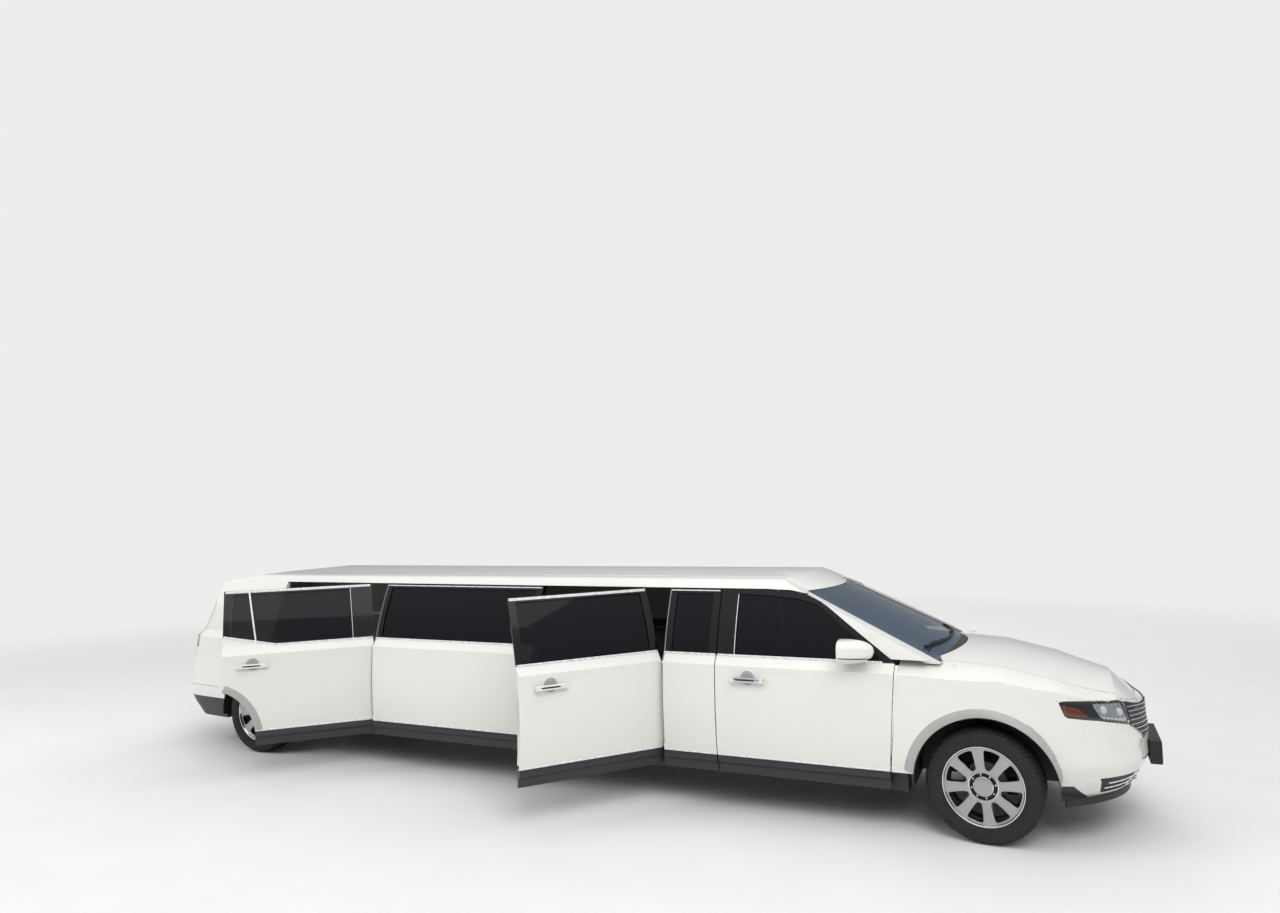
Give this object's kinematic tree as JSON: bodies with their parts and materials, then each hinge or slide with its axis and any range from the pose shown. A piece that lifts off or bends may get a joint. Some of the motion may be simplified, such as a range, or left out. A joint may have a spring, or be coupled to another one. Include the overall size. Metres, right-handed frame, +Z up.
{
  "type": "stretch limousine",
  "caption": "Long-bodied stretch limousine with five hinged side doors, lifting bonnet and tailgate, steered front wheels and two doors standing open.",
  "frame": {"origin": "on the ground, on the centre line, halfway between the front and rear ends", "axes": "+X towards the front, +Y to the left, +Z up"},
  "size_m": [8.857, 2.9129, 1.711],
  "materials": {
    "alloy_block": "as cast",
    "black_trim": "textured black plastic",
    "body_paint": "pearl clear-coated paint",
    "bright_metal": "polished",
    "carpet": "dark carpet",
    "iron": "dull dark paint",
    "lamp_lens": "clear lens over a dark bezel",
    "leather": "dark grain",
    "red_lens": "clear red lens",
    "rim_silver": "satin with polished faces",
    "screen_glass": "lightly tinted, blue-green",
    "side_glass": "heavily tinted",
    "tyre": "matt black"
  },
  "bodies": {
    "shell": {"nose": "body_paint", "wings": "body_paint", "headlamps": "lamp_lens", "grille": "bright_metal", "intake": "black_trim", "cowl": "black_trim", "roof": "body_paint", "windscreen": "screen_glass", "side_right": "body_paint", "side_left": "body_paint", "side_windows": "side_glass", "quarters": "body_paint", "rear_bumper": "body_paint", "tail_lamps": "red_lens", "floor": "carpet", "engine": "alloy_block", "radiator": "alloy_block", "front_axle": "iron", "rear_axle": "iron", "dashboard": "black_trim", "steering_wheel": "black_trim", "front_seats": "leather", "rear_seats": "leather", "plate_bracket": "black_trim", "wheel_liners": "black_trim"},
    "bonnet_lid": {"bonnet": "body_paint"},
    "tailgate_lid": {"tailgate": "body_paint", "rear_glass": "side_glass", "tail_lamp_bar": "red_lens"},
    "front_door_right": {"front_door_right": "body_paint", "front_door_right_glass": "side_glass", "mirror_right": "body_paint"},
    "front_door_left": {"front_door_left": "body_paint", "front_door_left_glass": "side_glass", "mirror_left": "body_paint"},
    "middle_door_right": {"middle_door_right": "body_paint", "middle_door_right_glass": "side_glass"},
    "rear_door_right": {"rear_door_right": "body_paint", "rear_door_right_glass": "side_glass"},
    "rear_door_left": {"rear_door_left": "body_paint", "rear_door_left_glass": "side_glass"},
    "knuckle_right": {"knuckle_right": "iron"},
    "wheel_front_right": {"wheel_front_right": "rim_silver", "tyre_front_right": "tyre"},
    "wheel_rear_right": {"wheel_rear_right": "rim_silver", "tyre_rear_right": "tyre"},
    "knuckle_left": {"knuckle_left": "iron"},
    "wheel_front_left": {"wheel_front_left": "rim_silver", "tyre_front_left": "tyre"},
    "wheel_rear_left": {"wheel_rear_left": "rim_silver", "tyre_rear_left": "tyre"}
  },
  "joints": [
    {"name": "front_door_right_hinge", "type": "hinge", "parent": "shell", "child": "front_door_right", "pos_m": [2.7015, -0.948, 0.9], "axis": [0, 0, 1], "range_deg": [0, 65]},
    {"name": "front_door_left_hinge", "type": "hinge", "parent": "shell", "child": "front_door_left", "pos_m": [2.7015, 0.948, 0.9], "axis": [0, 0, -1], "range_deg": [0, 65]},
    {"name": "middle_door_right_hinge", "type": "hinge", "parent": "shell", "child": "middle_door_right", "pos_m": [1.0095, -0.948, 0.9], "axis": [0, 0, 1], "range_deg": [-52, 13]},
    {"name": "rear_door_right_hinge", "type": "hinge", "parent": "shell", "child": "rear_door_right", "pos_m": [-1.8275, -0.948, 0.9], "axis": [0, 0, 1], "range_deg": [-46, 19]},
    {"name": "rear_door_left_hinge", "type": "hinge", "parent": "shell", "child": "rear_door_left", "pos_m": [-1.8275, 0.948, 0.9], "axis": [0, 0, -1], "range_deg": [0, 65]},
    {"name": "bonnet_hinge", "type": "hinge", "parent": "shell", "child": "bonnet_lid", "pos_m": [3.1025, 0, 1.16], "axis": [0, -1, 0], "range_deg": [0, 60]},
    {"name": "tailgate_hinge", "type": "hinge", "parent": "shell", "child": "tailgate_lid", "pos_m": [-3.7215, 0, 1.62], "axis": [0, 1, 0], "range_deg": [0, 80]},
    {"name": "steer_right", "type": "hinge", "parent": "shell", "child": "knuckle_right", "pos_m": [3.3585, -0.755, 0.37], "axis": [0, 0, 1], "range_deg": [-29, 39]},
    {"name": "wheel_front_right_spin", "type": "hinge", "parent": "knuckle_right", "child": "wheel_front_right", "pos_m": [3.3524, -0.82473, 0.37], "axis": [0.0872, 0.9962, 0], "continuous": true},
    {"name": "wheel_rear_right_spin", "type": "hinge", "parent": "shell", "child": "wheel_rear_right", "pos_m": [-3.1925, -0.825, 0.37], "axis": [0, 1, 0], "continuous": true},
    {"name": "steer_left", "type": "hinge", "parent": "shell", "child": "knuckle_left", "pos_m": [3.3585, 0.755, 0.37], "axis": [0, 0, 1], "range_deg": [-29, 39]},
    {"name": "wheel_front_left_spin", "type": "hinge", "parent": "knuckle_left", "child": "wheel_front_left", "pos_m": [3.3646, 0.82473, 0.37], "axis": [0.0872, 0.9962, 0], "continuous": true},
    {"name": "wheel_rear_left_spin", "type": "hinge", "parent": "shell", "child": "wheel_rear_left", "pos_m": [-3.1925, 0.825, 0.37], "axis": [0, 1, 0], "continuous": true}
  ],
  "couplings": [
    {"joint": "steer_left", "follows": "steer_right", "ratio": 1}
  ]
}
